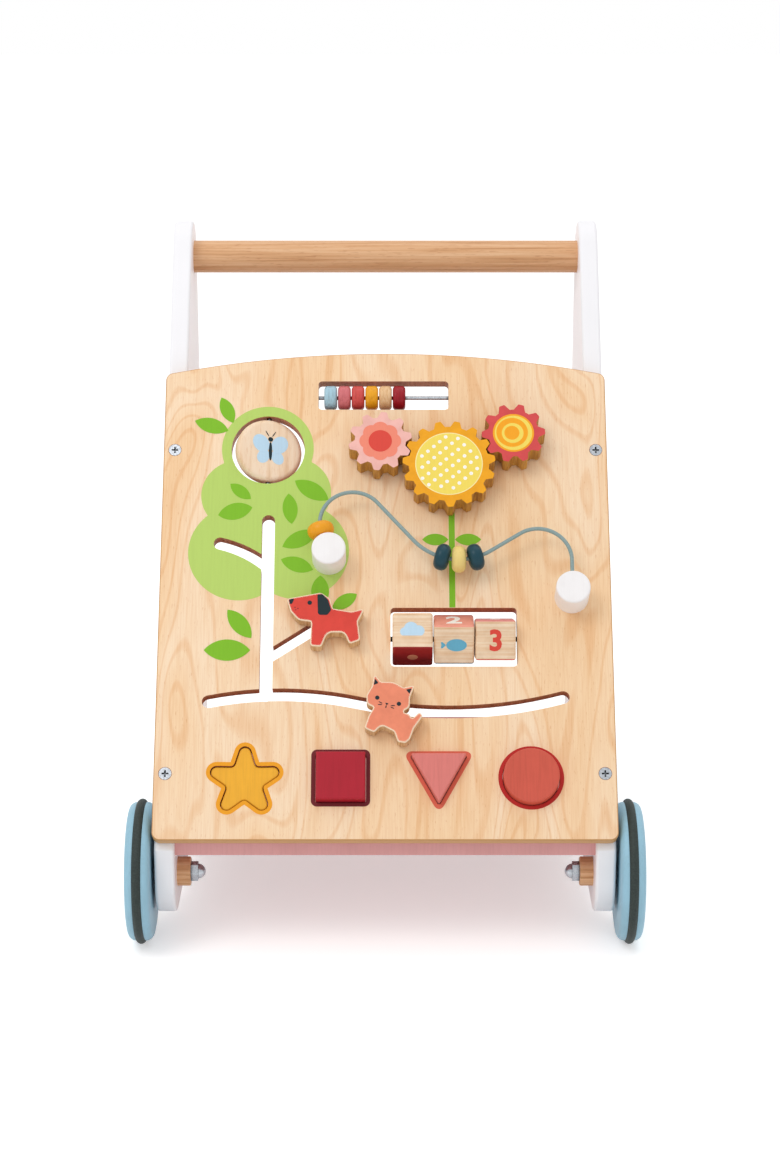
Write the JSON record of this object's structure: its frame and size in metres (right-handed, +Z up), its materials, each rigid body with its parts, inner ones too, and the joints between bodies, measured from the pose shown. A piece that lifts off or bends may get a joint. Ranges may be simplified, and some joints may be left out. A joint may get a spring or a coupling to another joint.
{
  "type": "baby walker",
  "caption": "Wooden push-along baby walker with a sloping activity board of gears, beads, cubes, slot figures and shape blocks, a round handle, a tray and wheels with rubber rings.",
  "frame": {"origin": "on the floor under the middle of the walker's bounding box", "axes": "+Z up, +X to the right seen from the board's front, -Y the way the board faces, +Y to the handle"},
  "size_m": [0.385, 0.419, 0.495],
  "materials": {
    "white_paint": "satin white paint on plywood",
    "birch": "clear matt lacquer on birch plywood",
    "pink_paint": "satin paint",
    "beech": "clear matt lacquer",
    "steel": "zinc plated",
    "wire_coat": "smooth coated wire",
    "wheel_paint": "satin paint on wood",
    "tyre_rubber": "matt rubber cord",
    "pink_gear_paint": "satin paint",
    "yellow_paint": "satin paint",
    "red_paint": "satin paint",
    "pale_blue_paint": "satin paint",
    "rose_paint": "satin paint",
    "coral_paint": "satin paint",
    "salmon_paint": "satin paint",
    "dark_red_paint": "satin paint",
    "teal_paint": "satin paint",
    "cream_paint": "satin paint"
  },
  "bodies": {
    "frame": {"side_board_left": "white_paint", "side_board_right": "white_paint", "wire_post_left": "white_paint", "wire_post_right": "white_paint", "activity_panel": "birch", "base_shelf": "pink_paint", "shelf_rail": "pink_paint", "handle_bar": "beech", "axle_spacers": "beech", "panel_screws": "steel", "side_screws": "steel", "post_screws": "steel", "axle_bolts": "steel", "axle_washers": "steel", "axle_nuts": "steel", "abacus_rod": "steel", "cube_rod": "steel", "disc_rod": "steel", "bead_wire": "wire_coat"},
    "wheel_front_left": {"wheel_front_left": "wheel_paint", "tyre_front_left": "tyre_rubber"},
    "wheel_front_right": {"wheel_front_right": "wheel_paint", "tyre_front_right": "tyre_rubber"},
    "wheel_rear_left": {"wheel_rear_left": "wheel_paint", "tyre_rear_left": "tyre_rubber"},
    "wheel_rear_right": {"wheel_rear_right": "wheel_paint", "tyre_rear_right": "tyre_rubber"},
    "gear_yellow": {"gear_yellow": "yellow_paint", "gear_shaft_yellow": "beech"},
    "gear_pink": {"gear_pink": "pink_gear_paint", "gear_shaft_pink": "beech"},
    "gear_red": {"gear_red": "red_paint", "gear_shaft_red": "beech"},
    "abacus_bead_1": {"abacus_bead_1": "pale_blue_paint"},
    "abacus_bead_2": {"abacus_bead_2": "rose_paint"},
    "abacus_bead_3": {"abacus_bead_3": "coral_paint"},
    "abacus_bead_4": {"abacus_bead_4": "yellow_paint"},
    "abacus_bead_5": {"abacus_bead_5": "birch"},
    "abacus_bead_6": {"abacus_bead_6": "dark_red_paint"},
    "wire_bead_yellow": {"wire_bead_yellow": "yellow_paint"},
    "wire_bead_2": {"wire_bead_2": "cream_paint"},
    "wire_bead_1": {"wire_bead_1": "teal_paint"},
    "wire_bead_3": {"wire_bead_3": "teal_paint"},
    "cube_1": {"cube_1": "birch"},
    "cube_2": {"cube_2": "birch"},
    "cube_3": {"cube_3": "birch"},
    "spinning_disc": {"spinning_disc": "birch"},
    "dog_peg": {"dog_peg": "beech"},
    "dog_figure": {"dog_figure": "red_paint"},
    "cat_peg": {"cat_peg": "beech"},
    "cat_figure": {"cat_figure": "salmon_paint"},
    "block_star": {"block_star": "yellow_paint"},
    "block_square": {"block_square": "dark_red_paint"},
    "block_triangle": {"block_triangle": "rose_paint"},
    "block_circle": {"block_circle": "coral_paint"}
  },
  "joints": [
    {"name": "front_left_wheel_spin", "type": "hinge", "parent": "frame", "child": "wheel_front_left", "pos_m": [-0.18325, -0.155, 0.0545], "axis": [1, 0, 0], "continuous": true},
    {"name": "front_right_wheel_spin", "type": "hinge", "parent": "frame", "child": "wheel_front_right", "pos_m": [0.18325, -0.155, 0.0545], "axis": [1, 0, 0], "continuous": true},
    {"name": "rear_left_wheel_spin", "type": "hinge", "parent": "frame", "child": "wheel_rear_left", "pos_m": [-0.18325, 0.155, 0.0545], "axis": [1, 0, 0], "continuous": true},
    {"name": "rear_right_wheel_spin", "type": "hinge", "parent": "frame", "child": "wheel_rear_right", "pos_m": [0.18325, 0.155, 0.0545], "axis": [1, 0, 0], "continuous": true},
    {"name": "yellow_gear_turn", "type": "hinge", "parent": "frame", "child": "gear_yellow", "pos_m": [0.049, -0.00903, 0.32552], "axis": [0, -0.788, 0.6157], "continuous": true},
    {"name": "pink_gear_turn", "type": "hinge", "parent": "frame", "child": "gear_pink", "pos_m": [-0.00392, 0.0027, 0.34054], "axis": [0, -0.788, 0.6157], "continuous": true},
    {"name": "red_gear_turn", "type": "hinge", "parent": "frame", "child": "gear_red", "pos_m": [0.09899, 0.00686, 0.34585], "axis": [0, -0.788, 0.6157], "continuous": true},
    {"name": "abacus_bead_1_slide", "type": "slide", "parent": "frame", "child": "abacus_bead_1", "axis": [1, 0, 0], "range_m": [-0.0042, 0.03345]},
    {"name": "abacus_bead_2_slide", "type": "slide", "parent": "frame", "child": "abacus_bead_2", "axis": [1, 0, 0], "range_m": [-0.0042, 0.03345]},
    {"name": "abacus_bead_3_slide", "type": "slide", "parent": "frame", "child": "abacus_bead_3", "axis": [1, 0, 0], "range_m": [-0.0042, 0.03345]},
    {"name": "abacus_bead_4_slide", "type": "slide", "parent": "frame", "child": "abacus_bead_4", "axis": [1, 0, 0], "range_m": [-0.0042, 0.03345]},
    {"name": "abacus_bead_5_slide", "type": "slide", "parent": "frame", "child": "abacus_bead_5", "axis": [1, 0, 0], "range_m": [-0.0042, 0.03345]},
    {"name": "abacus_bead_6_slide", "type": "slide", "parent": "frame", "child": "abacus_bead_6", "axis": [1, 0, 0], "range_m": [-0.0042, 0.03345]},
    {"name": "yellow_wire_bead_run", "type": "hinge", "parent": "frame", "child": "wire_bead_yellow", "pos_m": [-0.025, -0.04997, 0.29749], "axis": [0, -0.788, 0.6157], "range_deg": [-140, 0]},
    {"name": "wire_bead_2_run", "type": "hinge", "parent": "frame", "child": "wire_bead_2", "pos_m": [0.056, -0.04012, 0.31009], "axis": [0, -0.788, 0.6157], "range_deg": [-25, 9]},
    {"name": "wire_bead_1_run", "type": "hinge", "parent": "frame", "child": "wire_bead_1", "pos_m": [0.056, -0.04012, 0.31009], "axis": [0, -0.788, 0.6157], "range_deg": [-25, 9]},
    {"name": "wire_bead_3_run", "type": "hinge", "parent": "frame", "child": "wire_bead_3", "pos_m": [0.056, -0.04012, 0.31009], "axis": [0, -0.788, 0.6157], "range_deg": [-25, 9]},
    {"name": "cube_1_turn", "type": "hinge", "parent": "frame", "child": "cube_1", "pos_m": [0.0207, -0.08802, 0.2163], "axis": [1, 0, 0], "continuous": true},
    {"name": "cube_2_turn", "type": "hinge", "parent": "frame", "child": "cube_2", "pos_m": [0.052, -0.08802, 0.2163], "axis": [1, 0, 0], "continuous": true},
    {"name": "cube_3_turn", "type": "hinge", "parent": "frame", "child": "cube_3", "pos_m": [0.0833, -0.08802, 0.2163], "axis": [1, 0, 0], "continuous": true},
    {"name": "disc_spin", "type": "hinge", "parent": "frame", "child": "spinning_disc", "pos_m": [-0.0912, 0.00704, 0.33797], "axis": [0, 0.6157, 0.788], "continuous": true},
    {"name": "dog_peg_slide", "type": "slide", "parent": "frame", "child": "dog_peg", "axis": [-0.8348, -0.3389, -0.4338], "range_m": [0, 0.05]},
    {"name": "dog_turn", "type": "hinge", "parent": "dog_peg", "child": "dog_figure", "pos_m": [-0.044, -0.08371, 0.22994], "axis": [0, -0.788, 0.6157], "continuous": true},
    {"name": "cat_peg_run", "type": "hinge", "parent": "frame", "child": "cat_peg", "pos_m": [0.048, 0.07332, 0.43092], "axis": [0, -0.788, 0.6157], "range_deg": [-4, 22]},
    {"name": "cat_turn", "type": "hinge", "parent": "cat_peg", "child": "cat_figure", "pos_m": [0.003, -0.12671, 0.17489], "axis": [0, -0.788, 0.6157], "continuous": true},
    {"name": "star_block_slide", "type": "slide", "parent": "frame", "child": "block_star", "axis": [0, -0.788, 0.6157], "range_m": [-0.017, 0.025]},
    {"name": "square_block_slide", "type": "slide", "parent": "frame", "child": "block_square", "axis": [0, -0.788, 0.6157], "range_m": [-0.017, 0.025]},
    {"name": "triangle_block_slide", "type": "slide", "parent": "frame", "child": "block_triangle", "axis": [0, -0.788, 0.6157], "range_m": [-0.017, 0.025]},
    {"name": "circle_block_slide", "type": "slide", "parent": "frame", "child": "block_circle", "axis": [0, -0.788, 0.6157], "range_m": [-0.017, 0.025]}
  ],
  "couplings": [
    {"joint": "pink_gear_turn", "follows": "yellow_gear_turn", "ratio": -1.5},
    {"joint": "red_gear_turn", "follows": "yellow_gear_turn", "ratio": -1.5},
    {"joint": "abacus_bead_2_slide", "follows": "abacus_bead_1_slide", "ratio": 1},
    {"joint": "abacus_bead_3_slide", "follows": "abacus_bead_1_slide", "ratio": 1},
    {"joint": "abacus_bead_4_slide", "follows": "abacus_bead_1_slide", "ratio": 1},
    {"joint": "abacus_bead_5_slide", "follows": "abacus_bead_1_slide", "ratio": 1},
    {"joint": "abacus_bead_6_slide", "follows": "abacus_bead_1_slide", "ratio": 1},
    {"joint": "wire_bead_1_run", "follows": "wire_bead_2_run", "ratio": 1},
    {"joint": "wire_bead_3_run", "follows": "wire_bead_2_run", "ratio": 1}
  ]
}
